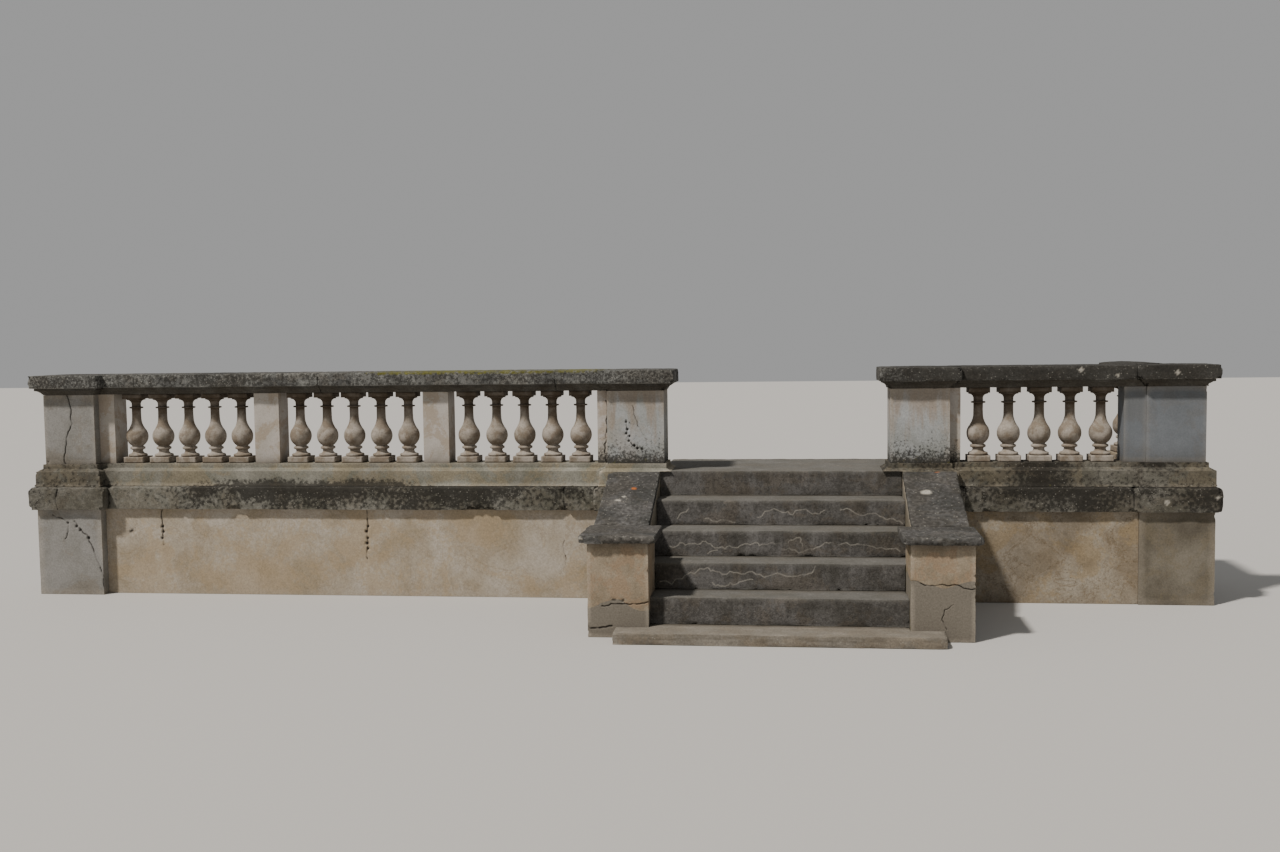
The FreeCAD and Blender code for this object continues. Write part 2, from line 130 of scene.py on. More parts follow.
floorMesh = bpy.data.meshes.new("floor")
half = light["floorSize"] / 2
corners = [(-half, -half), (half, -half), (half, half), (-half, half)]
floorMesh.from_pydata([(x, y, light["floorLevel"]) for x, y in corners], [], [(0, 1, 2, 3)])
floor = bpy.data.objects.new("floor", floorMesh)
scene.collection.objects.link(floor)
floorPaint = bpy.data.materials.new("paleFloorPaint")  # matt emulsion: even, pale and without gloss
floorPaint.use_nodes = True
paintNode = floorPaint.node_tree.nodes["Principled BSDF"]
paintNode.inputs["Base Color"].default_value = hexToLinear(light["floor"])
paintNode.inputs["Roughness"].default_value = light["floorRoughness"]
floorMesh.materials.append(floorPaint)
print("camera, light and floor set")


# Old limestone: dressed smooth once, now rain washed, pitted and crusted. Each look below starts
# from these values; sizes are in millimetres.
plainLook = {
    "light": "#a39a8b", "dark": "#8a8071", "cloud": 420,
    "grit": 12, "gritStrength": 0.16,
    "stain": "#8b7352", "stainSize": 260, "stainAmount": 0.35, "mottleSize": 30,
    "tide": "#7b6446", "tideLevel": 0.5, "tideAmount": 0.0,
    "runs": "#8a7a68", "runWidth": 60, "runAmount": 0.0, "runStretch": (1, 1, 0.16),
    "crust": "#211f1b", "crustSize": 20, "crustAmount": 0.85,
    "speck": "#98958b", "speckSize": 13, "speckShare": 0.08, "speckAmount": 0.4,
    "moss": "#5c5a2a", "mossSize": 30, "lichen": "#a8a398", "orange": "#a8602c",
    # the dark dirt colour on the next line also paints the shade in hollows, under overhangs and under caps
    "dirtAndShade": "#3d3830", "worn": "#b3a99a", "wornAmount": 0.35,
    "crack": "#1a1612", "cement": "#6e685e", "roughness": 0.92, "bump": 0.55, "relief": 0.004,
}

# how far each kind of weathering and the painted shade have gone at a point, kept on the mesh from 0 to 1
shareTitles = ("worn", "dirtAndShade", "crack", "upper", "crust", "moss", "cement", "lichen", "orange")

# the value at which each layer starts to show (1) and where it shows in full (2)
fadeOf = {
    "cloud": {1: 0.38, 2: 0.62}, "cement": {1: 0.45, 2: 0.55}, "stain": {1: 0.665, 2: 0.735},
    "tide": {1: 0.012, 2: 0.0}, "runHeight": {1: 0.25, 2: 1.0}, "runs": {1: 0.62, 2: 0.8},
    "crust": {1: 0.64, 2: 0.76}, "disc": {1: 0.36, 2: 0.26}, "nearCrust": {1: 0.05, 2: 0.4},
    "moss": {1: 0.86, 2: 1.1}, "grit": {1: 0.3, 2: 0.7},
}


def weatheredStone(name, changes):
    look = {**plainLook, **changes}
    material = bpy.data.materials.new(name)
    material.use_nodes = True
    tree = material.node_tree
    tree.nodes.clear()
    place = addNode(tree, "TexCoord").outputs["Object"]
    share = {title: addNode(tree, "Attribute", attribute_name=title).outputs["Fac"] for title in shareTitles}
    layers = []  # each a colour and how much of it shows, from the bare stone outwards

    # slow change of tone across the stone
    cloud = addNode(tree, "TexNoise", {"Vector": place, "Scale": perMetre(look["cloud"]),
                                       "Detail": 6.0, "Roughness": 0.66}).outputs[0]
    cloudShare = addNode(tree, "MapRange", {0: cloud, **fadeOf["cloud"]}).outputs[0]
    layers.append((look["dark"], cloudShare))

    # cement patch over the lower part
    cementShare = addNode(tree, "MapRange", {0: share["cement"], **fadeOf["cement"]}).outputs[0]
    layers.append((look["cement"], cementShare))

    # iron stain in mottled clouds, with a darker tide mark along their rims
    stain = addNode(tree, "TexNoise", {"Vector": place, "Scale": perMetre(look["stainSize"]),
                                       "Detail": 8.0, "Roughness": 0.62, "Distortion": 0.6}).outputs[0]
    mottle = addNode(tree, "TexNoise", {"Vector": place, "Scale": perMetre(look["mottleSize"]),
                                        "Detail": 5.0, "Roughness": 0.7}).outputs[0]
    mottled = addNode(tree, "Math", {0: mottle, 1: 0.35, 2: stain}, operation="MULTIPLY_ADD").outputs[0]
    stained = addNode(tree, "MapRange", {0: mottled, **fadeOf["stain"], 4: look["stainAmount"]}).outputs[0]
    dryStain = addNode(tree, "Math", {0: stained, 1: cementShare}, operation="SUBTRACT",
                       use_clamp=True).outputs[0]
    layers.append((look["stain"], dryStain))
    offRim = addNode(tree, "Math", {0: stain, 1: look["tideLevel"]}, operation="SUBTRACT").outputs[0]
    offRim = addNode(tree, "Math", {0: offRim}, operation="ABSOLUTE").outputs[0]
    tide = addNode(tree, "MapRange", {0: offRim, **fadeOf["tide"], 4: look["tideAmount"]}).outputs[0]
    layers.append((look["tide"], tide))

    # runs of dirty water from the top edge, or streaks along the bed of the stone
    if look["runAmount"]:
        drawn = addNode(tree, "Mapping", {"Vector": place, "Scale": look["runStretch"]}).outputs[0]
        run = addNode(tree, "TexNoise", {"Vector": drawn, "Scale": perMetre(look["runWidth"]),
                                         "Detail": 4.0, "Roughness": 0.55}).outputs[0]
        runHeight = addNode(tree, "MapRange", {0: share["upper"], **fadeOf["runHeight"],
                                               4: 0.34}).outputs[0]
        runSum = addNode(tree, "Math", {0: run, 1: runHeight}, operation="ADD").outputs[0]
        runShare = addNode(tree, "MapRange", {0: runSum, **fadeOf["runs"],
                                              4: look["runAmount"]}).outputs[0]
        layers.append((look["runs"], runShare))

    # arrises rubbed pale, the foot left dirty; hollows, undersides and bands under overhangs darkened with
    # painted shade
    wornShare = addNode(tree, "Math", {0: share["worn"], 1: look["wornAmount"]},
                        operation="MULTIPLY").outputs[0]
    layers.append((look["worn"], wornShare))
    dirtAndShadeNoise = addNode(tree, "TexNoise", {"Vector": place, "Scale": perMetre(90),
                                            "Detail": 5.0}).outputs[0]
    dirtAndShadeRise = addNode(tree, "Math", {0: dirtAndShadeNoise, 1: 0.5}, operation="ADD").outputs[0]
    dirtAndShadeShare = addNode(tree, "Math", {0: share["dirtAndShade"], 1: dirtAndShadeRise}, operation="MULTIPLY",
                         use_clamp=True).outputs[0]
    layers.append((look["dirtAndShade"], dirtAndShadeShare))

    # black lichen crust where rain sits, in ragged patches
    crustNoise = addNode(tree, "TexNoise", {"Vector": place, "Scale": perMetre(look["crustSize"]),
                                            "Detail": 8.0, "Roughness": 0.74}).outputs[0]
    crustPush = addNode(tree, "Math", {0: share["crust"], 1: 0.42, 2: crustNoise},
                        operation="MULTIPLY_ADD").outputs[0]
    crustShare = addNode(tree, "MapRange", {0: crustPush, **fadeOf["crust"],
                                            4: look["crustAmount"]}).outputs[0]
    layers.append((look["crust"], crustShare))

    # white lichen discs, only near the crust
    cells = addNode(tree, "TexVoronoi", {"Vector": place, "Scale": perMetre(look["speckSize"])})
    disc = addNode(tree, "MapRange", {0: cells.outputs["Distance"], **fadeOf["disc"]}).outputs[0]
    picked = addNode(tree, "SeparateColor", {0: cells.outputs["Color"]}).outputs[0]
    chosen = addNode(tree, "MapRange", {0: picked, 1: 1 - look["speckShare"],
                                        2: 1.02 - look["speckShare"], 4: look["speckAmount"]}).outputs[0]
    discShare = addNode(tree, "Math", {0: disc, 1: chosen}, operation="MULTIPLY").outputs[0]
    crustNear = addNode(tree, "MapRange", {0: share["crust"], **fadeOf["nearCrust"]}).outputs[0]
    discShare = addNode(tree, "Math", {0: discShare, 1: crustNear}, operation="MULTIPLY").outputs[0]
    layers.append((look["speck"], discShare))

    # moss, then the larger pale lichen, the orange lichen and the dark of cracks
    mossNoise = addNode(tree, "TexNoise", {"Vector": place, "Scale": perMetre(look["mossSize"]),
                                           "Detail": 4.0}).outputs[0]
    mossPush = addNode(tree, "Math", {0: share["moss"], 1: mossNoise}, operation="ADD").outputs[0]
    mossShare = addNode(tree, "MapRange", {0: mossPush, **fadeOf["moss"]}).outputs[0]
    layers.append((look["moss"], mossShare))
    layers.append((look["lichen"], share["lichen"]))
    layers.append((look["orange"], share["orange"]))
    layers.append((look["crack"], share["crack"]))

    colour = hexToLinear(look["light"])
    for over, amount in layers:
        colour = addNode(tree, "Mix", {0: amount, 6: colour, 7: hexToLinear(over)},
                         data_type="RGBA").outputs[2]

    # sand grain, in the colour and in the surface
    grit = addNode(tree, "TexNoise", {"Vector": place, "Scale": perMetre(look["grit"]),
                                      "Detail": 3.0, "Roughness": 0.7}).outputs[0]
    gritValue = addNode(tree, "MapRange", {0: grit, **fadeOf["grit"], 3: 1 - look["gritStrength"],
                                           4: 1 + look["gritStrength"]}).outputs[0]
    colour = addNode(tree, "HueSaturation", {"Color": colour, "Value": gritValue}).outputs[0]
    height = addNode(tree, "Math", {0: crustShare, 1: 0.8, 2: grit}, operation="MULTIPLY_ADD").outputs[0]
    bump = addNode(tree, "Bump", {"Height": height, "Strength": look["bump"],
                                  "Distance": look["relief"]}).outputs[0]
    surface = addNode(tree, "BsdfPrincipled", {"Base Color": colour, "Normal": bump,
                                               "Roughness": look["roughness"], "IOR": 1.5,
                                               "Specular IOR Level": 0.25})
    addNode(tree, "OutputMaterial", {"Surface": surface.outputs[0]})
    return material


# one dictionary a finish; what each gives the eye is in its comment
looks = {
    # coping limestone, sawn and weathered: near black grey crust, fine white flecks
    "crustedCopingLimestone": {"light": "#747470", "dark": "#4c4c4a", "cloud": 240, "stain": "#605a50",
                               "gritStrength": 0.34, "grit": 12, "worn": "#868680", "speckShare": 0.14,
                               "crustSize": 22, "crustAmount": 0.8},
    # band limestone: grey with bitten black patches
    "blackenedBandLimestone": {"light": "#7a7870", "dark": "#56544a", "cloud": 200, "stain": "#665e50",
                               "gritStrength": 0.36, "grit": 13, "worn": "#929088", "speckShare": 0.14,
                               "crustSize": 26, "crustAmount": 0.9, "relief": 0.006},
    # moulded base limestone: beige with grey green film
    "greyedBaseLimestone": {"light": "#86847a", "dark": "#6a6a5e", "cloud": 260, "stain": "#887a60",
                            "stainAmount": 0.45, "gritStrength": 0.28, "crustSize": 24},
    # pier dies, rubbed limestone: smooth cool grey with warm runs
    "rubbedPierLimestone": {"light": "#9c9e9e", "dark": "#848682", "cloud": 300, "stain": "#948c82",
                            "runs": "#887866", "runAmount": 0.6, "gritStrength": 0.16, "bump": 0.3},
    # corner die and the posts beside it, fine cement wash: even blue grey
    "washedCornerCement": {"light": "#6a6e72", "dark": "#5e6266", "cloud": 500, "stain": "#605c56",
                           "stainAmount": 0.25, "gritStrength": 0.1, "bump": 0.2, "runs": "#565858",
                           "runAmount": 0.2},
    # posts between the bays, dressed limestone: pale warm grey with brown scabs
    "dressedPostLimestone": {"light": "#aea8a2", "dark": "#9c968c", "cloud": 350, "stain": "#8c7a64",
                             "stainAmount": 0.5, "stainSize": 190, "gritStrength": 0.12, "bump": 0.25},
    # lower wall and inner plinth, smooth limewashed stone: warm beige with ochre clouds
    "stainedWallLimestone": {"light": "#a29a8e", "dark": "#8c806c", "cloud": 380, "stain": "#968468",
                             "stainSize": 420, "stainAmount": 0.5, "gritStrength": 0.18, "bump": 0.3,
                             "tide": "#7c6c54", "tideLevel": 0.47, "tideAmount": 0.4,
                             "dirtAndShade": "#6a6050"},
    # walls right of the stair: the same stone, browner, with strong tide marks and small dark pinholes
    "ochreWallLimestone": {"light": "#989082", "dark": "#7c705e", "cloud": 300, "stain": "#8c7a5c",
                           "stainSize": 330, "stainAmount": 0.6, "gritStrength": 0.22, "bump": 0.3,
                           "tide": "#604e34", "tideLevel": 0.44, "tideAmount": 0.6, "dirtAndShade": "#544a3c",
                           "crustAmount": 0.0, "speck": "#44382a", "speckShare": 0.04, "speckAmount": 0.8},
    # plinth and die of the end pier, dressed limestone: cooler and greyer than the wall
    "greyPlinthLimestone": {"light": "#82807c", "dark": "#706e68", "cloud": 260, "stain": "#72695c",
                            "stainAmount": 0.4, "gritStrength": 0.18, "bump": 0.3},
    # corner plinth and cheeks, limestone darkened with painted shade: dark beige
    "shadeDarkenedPlinthLimestone": {"light": "#767064", "dark": "#5a5448", "cloud": 300, "stain": "#6e6450",
                            "stainAmount": 0.4, "gritStrength": 0.18, "bump": 0.3, "crustAmount": 0.0,
                            "speckAmount": 0.0},
    # turned balusters, limestone: brownish grey, smooth, with faint blotches; the dark dirt colour also
    # paints the shade on the neck and the undersides
    "turnedBalusterLimestone": {"light": "#968e84", "dark": "#766e62", "cloud": 90, "stain": "#6c5e4e",
                                "stainSize": 90, "stainAmount": 0.55, "gritStrength": 0.16, "bump": 0.3,
                                "dirtAndShade": "#463c30"},
    # step stone, trodden: dark grey brown risers, paler rubbed treads
    "troddenStepStone": {"light": "#666462", "dark": "#4c4a46", "cloud": 230, "stain": "#5c5244",
                         "gritStrength": 0.24, "grit": 11, "worn": "#7a7870", "wornAmount": 0.6,
                         "crustAmount": 0.4, "crustSize": 26, "runs": "#302e2a", "speckAmount": 0.15,
                         "runWidth": 48, "runAmount": 0.4},
    # bottom slab, the same stone scoured by feet and rain: paler brown, streaked along its bed
    "scouredSlabStone": {"light": "#8a847a", "dark": "#6c665c", "cloud": 260, "stain": "#786a56",
                         "gritStrength": 0.24, "grit": 11, "worn": "#989288", "crustAmount": 0.12,
                         "runs": "#524c42", "runWidth": 26, "runAmount": 0.55, "runStretch": (0.1, 0.5, 1)},
    # cheek slabs and pedestal caps, hard limestone: dark grey with lichen discs
    "lichenedRampLimestone": {"light": "#605e5c", "dark": "#444442", "cloud": 180, "stain": "#524c42",
                              "gritStrength": 0.34, "grit": 12, "worn": "#787872", "speckShare": 0.16,
                              "speckSize": 17, "crustAmount": 0.65, "crustSize": 24},
    # pedestals: ochre stone above, grey cement render below
    "patchedPedestalStone": {"light": "#908472", "dark": "#7a6e5c", "cloud": 170, "stain": "#8a7660",
                             "stainAmount": 0.7, "stainSize": 150, "gritStrength": 0.2, "bump": 0.4},
    # core behind the steps, rough masonry: dull beige grey
    "roughCoreMasonry": {"light": "#8a8274", "dark": "#6e665a", "cloud": 160, "gritStrength": 0.3,
                         "grit": 14, "relief": 0.006},
}
materials = {name: weatheredStone(name, changes) for name, changes in looks.items()}
print("materials made,", len(materials))


# large primes that scatter the corners of a grid
primes = {"x": 73856093, "y": 19349663, "z": 83492791, "seed": 26544357, "mix": 1274126177}


# soft patches of about that size, from 0 to 1
def patches(places, size, seed):
    grid = places / size + seed * 7.31
    cell = np.floor(grid).astype(np.int64)
    part = grid - cell
    part = part * part * (3 - 2 * part)
    total = np.zeros(len(places))
    for corner in range(8):
        offset = np.array((corner & 1, corner >> 1 & 1, corner >> 2 & 1))
        at = cell + offset
        number = at[:, 0] * primes["x"] ^ at[:, 1] * primes["y"] ^ at[:, 2] * primes["z"]
        number = number ^ seed * primes["seed"]
        number = (number ^ (number >> 13)) * primes["mix"]
        value = ((number ^ (number >> 16)) & 65535) / 65535.0
        total += value * np.prod(np.where(offset, part, 1 - part), axis=1)
    return total


def ragged(places, size, seed):
    return (patches(places, size, seed) + 0.5 * patches(places, size / 2, seed + 1)
            + 0.25 * patches(places, size / 4, seed + 2)) / 1.75


def clipped(values, low=0.0, high=1.0):
    return np.clip((values - low) / (high - low), 0.0, 1.0)


# distance from each place to a line through the points
def toLine(places, points):
    nearest = np.full(len(places), 1e9)
    for start, finish in zip(points[:-1], points[1:]):
        run = finish - start
        along = np.clip(((places - start) @ run) / max(run @ run, 1e-12), 0, 1)
        nearest = np.minimum(nearest, np.linalg.norm(places - start - along[:, None] * run, axis=1))
    return nearest


# the line with its stretches halved twice and pushed aside a little
def wandering(points, seed, sway=0.12):
    random = np.random.default_rng(seed)
    line = [np.array(point, float) for point in points]
    for _ in range(2):
        finer = [line[0]]
        for start, finish in zip(line[:-1], line[1:]):
            run = finish - start
            push = np.array((-run[2], 0, run[0])) * random.uniform(-sway, sway)
            finer += [(start + finish) / 2 + push, finish]
        line = finer
    return line


def solidMesh(node):
    bm = bmesh.new()
    bm.from_mesh(nodes[node].data)
    bmesh.ops.remove_doubles(bm, verts=bm.verts, dist=2e-5)
    return bm


# separate stones between the cuts, each an axis and a place along it
def split(bm, cuts):
    stones = [bm]
    for axis, position in cuts:
        normal = Vector((axis == "x", axis == "y", axis == "z"))
        halves = []
        for stone in stones:
            for above in (True, False):
                part = stone.copy()
                bmesh.ops.bisect_plane(part, geom=part.verts[:] + part.edges[:] + part.faces[:],
                                       dist=1e-6, plane_co=normal * position, plane_no=normal,
                                       clear_inner=above, clear_outer=not above)
                rim = [edge for edge in part.edges if edge.is_boundary]
                if rim:
                    bmesh.ops.holes_fill(part, edges=rim, sides=0)
                if part.faces:
                    halves.append(part)
                else:
                    part.free()
        stones = halves
    return stones


# an even skin of small faces over the solid, with its arrises kept
def skinned(bm, cell):
    mesh = bpy.data.meshes.new("solid")
    bm.to_mesh(mesh)
    holder = bpy.data.objects.new("solid", mesh)
    scene.collection.objects.link(holder)
    skin = holder.modifiers.new("skin", "REMESH")
    skin.mode = "SHARP"
    longest = max(holder.dimensions)
    mostFilled = 0.98  # share of the skin's grid that the stone may fill
    skin.octree_depth = math.ceil(math.log2(longest / cell / mostFilled))
    skin.scale = longest / (cell * 2 ** skin.octree_depth)
    skin.use_remove_disconnected = False
    graph = bpy.context.evaluated_depsgraph_get()
    result = bpy.data.meshes.new_from_object(holder.evaluated_get(graph))
    bpy.data.objects.remove(holder)
    bpy.data.meshes.remove(mesh)
    return result


# finer faces along each crack, so that it can be narrow
def refined(bm, lines, reach):
    for _ in range(2):
        middles = np.array([(edge.verts[0].co + edge.verts[1].co) / 2 for edge in bm.edges])
        near = np.full(len(middles), 1e9)
        for line in lines:
            near = np.minimum(near, toLine(middles, line))
        bm.edges.ensure_lookup_table()
        picked = [bm.edges[number] for number in np.flatnonzero(near < reach)]
        bmesh.ops.subdivide_edges(bm, edges=picked, cuts=1, use_grid_fill=True)
        reach *= 0.7


# push the skin out of a ragged ball, as a knocked-off chip leaves it
def carve(places, normals, centre, radius, seed):
    away = places - centre
    far = np.linalg.norm(away, axis=1)
    size = radius * (0.75 + 0.5 * patches(places, max(radius * 0.5, 0.006), seed))
    hit = far < size
    inward = away[hit] / far[hit].clip(1e-6)[:, None] - normals[hit] * 0.8
    inward /= np.linalg.norm(inward, axis=1).clip(0.2)[:, None]
    places[hit] += inward * (size - far)[hit][:, None]
    return hit


# the places and normals of a mesh's points
def skinPlaces(mesh):
    places = np.empty(len(mesh.vertices) * 3)
    mesh.vertices.foreach_get("co", places)
    normals = np.empty(len(mesh.vertices) * 3)
    mesh.vertices.foreach_get("normal", normals)
    return places.reshape(-1, 3), normals.reshape(-1, 3)


# the mesh as a finished piece: its points moved, its weathering and painted shade kept on it, its body and
# slot set
def addPiece(node, mesh, places, kept, lookName, sharpAngle=None):
    mesh.vertices.foreach_set("co", places.ravel())
    for title in shareTitles:
        layer = mesh.attributes.new(title, "FLOAT", "POINT")
        values = np.broadcast_to(kept.get(title, 0.0), len(places))
        layer.data.foreach_set("value", values.astype(np.float32))
    mesh.polygons.foreach_set("use_smooth", np.ones(len(mesh.polygons), bool))
    mesh.update()
    if sharpAngle:
        mesh.set_sharp_from_angle(angle=math.radians(sharpAngle))
    mesh.materials.clear()
    mesh.materials.append(materials[lookName])
    piece = bpy.data.objects.new(f"{node}_stone", mesh)
    scene.collection.objects.link(piece)
    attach(piece, "root")
    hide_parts(node)


plainWear = {
    "voxel": 0.012,      # size of the skin's faces
    "lumps": 0.0012,     # how far the faces stand out of true
    "lumpSize": 0.07,
    "rounding": 0,       # how often a soft spot of an edge is smoothed
    "loss": 0.0015,      # stone lost from the edges
    "lossSize": 0.05,
    "chips": 0, "chipSize": (0.008, 0.02),
    "edgeBend": (0.03, 0.22), "hollowBend": (0.03, 0.2),  # bend at which an edge or a hollow counts
    "weakSize": 0.16, "weakShare": (0.38, 0.62),          # soft spots of the stone
    "veinWidth": 0.005, "veinTone": 0.42,
    "cuts": (), "bites": (), "cracks": (), "veins": (), "pits": (), "spots": (),
    "sharpAngle": 42,
}
plainCrack = {"width": 0.006, "depth": 0.008, "dark": 0.9}


# the skins of the node's stones in one mesh, with finer faces along the lines
def stoneMesh(node, wear, lines):
    whole = bmesh.new()
    for stone in split(solidMesh(node), wear["cuts"]):
        skin = skinned(stone, wear["voxel"])
        stone.free()
        whole.from_mesh(skin)
        bpy.data.meshes.remove(skin)
    if lines:
        refined(whole, lines, wear["voxel"] * 1.6)
    mesh = bpy.data.meshes.new(f"{node}_stone")
    whole.to_mesh(mesh)
    whole.free()
    return mesh


def wornPiece(node, lookName, changes, shares, seed):
    wear = {**plainWear, **changes}
    low, high = (np.array(corner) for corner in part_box(node))
    random = np.random.default_rng(seed)
    lines = [wandering([low + np.array(point) for point in line["points"]], seed + number)
             for number, line in enumerate(wear["cracks"])]
    veins = [wandering([low + np.array((x, 0, z)) for x, z in points], seed + 60 + number, 0.25)
             for number, points in enumerate(wear["veins"])]
    mesh = stoneMesh(node, wear, lines + veins)
    places, normals = skinPlaces(mesh)
    count = len(places)
    ends = np.empty(len(mesh.edges) * 2, int)
    mesh.edges.foreach_get("vertices", ends)
    ends = ends.reshape(-1, 2)
    neighbours = np.bincount(ends.ravel(), minlength=count).clip(1)

    def average(values):
        flat = values.reshape(count, -1)
        result = np.empty_like(flat)
        for column in range(flat.shape[1]):
            result[:, column] = (
                np.bincount(ends[:, 0], flat[ends[:, 1], column], count)
                + np.bincount(ends[:, 1], flat[ends[:, 0], column], count)) / neighbours
        return result.reshape(values.shape)

    bend = np.einsum("ij,ij->i", average(places) - places, normals) / wear["voxel"]
    bend = average(average(bend))
    worn = clipped(-bend, *wear["edgeBend"])
    hollow = clipped(bend, *wear["hollowBend"])

    # soft spots: the edge rounds off where the stone is weak
    weak = clipped(ragged(places, wear["weakSize"], seed), *wear["weakShare"])[:, None]
    for _ in range(wear["rounding"]):
        places += (average(places) - places) * weak * 0.8
    places -= normals * (worn * wear["loss"] * 2 * ragged(places, wear["lossSize"], seed + 3) ** 2)[:, None]
    places += normals * ((ragged(places, wear["lumpSize"], seed + 5) - 0.62) * 2 * wear["lumps"])[:, None]
    edge = np.flatnonzero(worn > 0.6)
    chipped = np.zeros(count, bool)
    for number in range(wear["chips"] if len(edge) else 0):
        at = random.choice(edge)
        radius = random.uniform(*wear["chipSize"])
        chipped |= carve(places, normals, places[at] + normals[at] * radius * 0.45, radius, seed + number)
    for number, (x, y, z, radius) in enumerate(wear["bites"]):
        chipped |= carve(places, normals, low + np.array((x, y, z)), radius, seed + 40 + number)
    crack = np.zeros(count)
    for line, changed in zip(lines, wear["cracks"]):
        facts = {**plainCrack, **changed}
        share = clipped(1 - toLine(places, line) / facts["width"])
        broken = 0.35 + 0.65 * clipped(patches(places, 0.03, seed + 9), 0.3, 0.5)
        places -= normals * (share * broken * facts["depth"])[:, None]
        crack = np.maximum(crack, np.minimum(share * 1.6, 1) * broken * facts["dark"])
    for x, y, z, radius in wear["pits"]:
        share = clipped(1 - np.linalg.norm(places - low - np.array((x, y, z)), axis=1) / radius)
        places -= normals * (np.sqrt(share) * radius * 0.8)[:, None]
        crack = np.maximum(crack, clipped(share, 0.1, 0.5))
    vein = np.zeros(count)
    for line in veins:
        share = clipped(1 - toLine(places, line) / wear["veinWidth"], 0.0, 0.6)
        unbroken = clipped(patches(places, 0.09, seed + 13), 0.05, 0.5)
        vein = np.maximum(vein, share * unbroken * wear["veinTone"])
    places = np.clip(places, low, high)

    rise = (places[:, 2] - low[2]) / (high[2] - low[2])
    # hollows darkened with painted shade
    kept = {"worn": worn, "dirtAndShade": hollow * 0.9, "crack": crack, "upper": rise}
    kept.update(shares(places, normals, low, high))
    kept["dirtAndShade"] = np.maximum(kept["dirtAndShade"], hollow * 0.8)
    kept["worn"] = kept["worn"] * (1 - kept.get("crust", 0) * 0.5)
    kept["lichen"] = vein
    kept["orange"] = np.zeros(count)
    for kind, x, y, z, radius in wear["spots"]:
        nearest = places[np.argmin(np.linalg.norm(places - low - np.array((x, y, z)), axis=1))]
        share = clipped(1 - np.linalg.norm(places - nearest, axis=1)
                        / (radius * (0.7 + 0.6 * patches(places, radius * 0.6, seed))))
        kept[kind] = np.maximum(kept[kind], clipped(share, 0.0, 0.35) * 0.9)
    addPiece(node, mesh, places, kept, lookName, wear["sharpAngle"])


# stretches over which a kind of weathering comes in, metres to the right of the stair's middle
stretches = {
    "endPier": (-5.15, -4.9), "crustStarts": (-5.1, -4.4), "crustThins": (-2.2, -1.2),
    "footStarts": (-4.6, -4.1), "footEnds": (-3.0, -2.4), "mossStarts": (-3.6, -2.9),
    "mossEnds": (-1.4, -0.9), "rightCoping": (0.6, 1.0), "rightBase": (0.3, 0.6),
    "rightBand": (1.0, 1.4), "rightWall": (1.2, 1.4),
}


# Where the black crust, the moss, the dirt and the painted shade sit on each kind of piece. All take
# the same four values, so that one call serves them.
def copingShares(places, normals, low, high):
    face = clipped(places[:, 2], low[2] + 0.05, low[2] + 0.06)
    tone = ragged(places, 0.5, 11)
    top = clipped(normals[:, 2], 0.2, 0.7)
    mossy = (clipped(places[:, 0], *stretches["mossStarts"])
             * (1 - clipped(places[:, 0], *stretches["mossEnds"])))
    edge = clipped(places[:, 2], low[2] + 0.12, low[2] + 0.138)
    right = clipped(places[:, 0], *stretches["rightCoping"])
    # the lowest few centimetres, the bed mould under the fascia, darkened with painted shade; the face of the
    # right end is really dirtier
    return {"crust": face * (0.25 + 0.5 * tone + 0.3 * right), "dirtAndShade": (1 - face) * 0.8 + 0.3 * face * right,
            "moss": np.maximum(top, edge) * mossy * (0.25 + 0.5 * ragged(places, 0.3, 12))}


def bandShares(places, normals, low, high):
    rise = clipped(places[:, 2], low[2], high[2])
    tone = clipped(ragged(places, 0.4, 21), 0.3, 0.7)
    right = clipped(places[:, 0], *stretches["rightBand"])
    end = 1 - clipped(places[:, 0], *stretches["endPier"])
    dark = (clipped(places[:, 0], *stretches["crustStarts"])
            * (1 - 0.6 * clipped(places[:, 0], *stretches["crustThins"])))
    dark = np.maximum(np.maximum(dark, right * 0.95), 0.45)
    return {"crust": dark * (0.2 + 0.4 * rise + 0.45 * tone),
            "dirtAndShade": 0.4 * np.maximum(right, end),
            "moss": clipped(rise, 0.93, 1) * 0.35 * tone}


def baseShares(places, normals, low, high):
    rise = clipped(places[:, 2], low[2], high[2])
    tone = clipped(ragged(places, 0.35, 31), 0.35, 0.65)
    right = clipped(places[:, 0], *stretches["rightBase"])
    left = (clipped(places[:, 0], *stretches["footStarts"])
            * (1 - clipped(places[:, 0], *stretches["footEnds"])))
    foot = 1 - clipped(rise, 0.0, 0.5)
    end = 1 - clipped(places[:, 0], *stretches["endPier"])
    return {"crust": np.maximum(right * 0.7, left * foot) * (0.4 + 0.6 * tone) + 0.12 * foot + 0.3 * end,
            "dirtAndShade": 0.3 * tone + 0.6 * np.maximum(right, end), "moss": 0.25 * foot * tone}


def dieShares(places, normals, low, high):
    rise = places[:, 2] - low[2]
    inner = (np.abs(places[:, 0]) < 1.4) * 1.0
    return {"crust": inner * 0.78 * np.exp(-rise / 0.14), "dirtAndShade": 0.6 * np.exp(-rise / 0.05),
            "moss": inner * 0.3 * np.exp(-rise / 0.12)}


def wallShares(places, normals, low, high):
    right = clipped(places[:, 0], *stretches["rightWall"])
    soil = clipped(ragged(places, 0.35, 81), 0.5, 0.7) * right
    return {"dirtAndShade": 0.25 * np.exp(-places[:, 2] / 0.06) + 0.12 * right + 0.35 * soil, "crust": 0.35 * right}


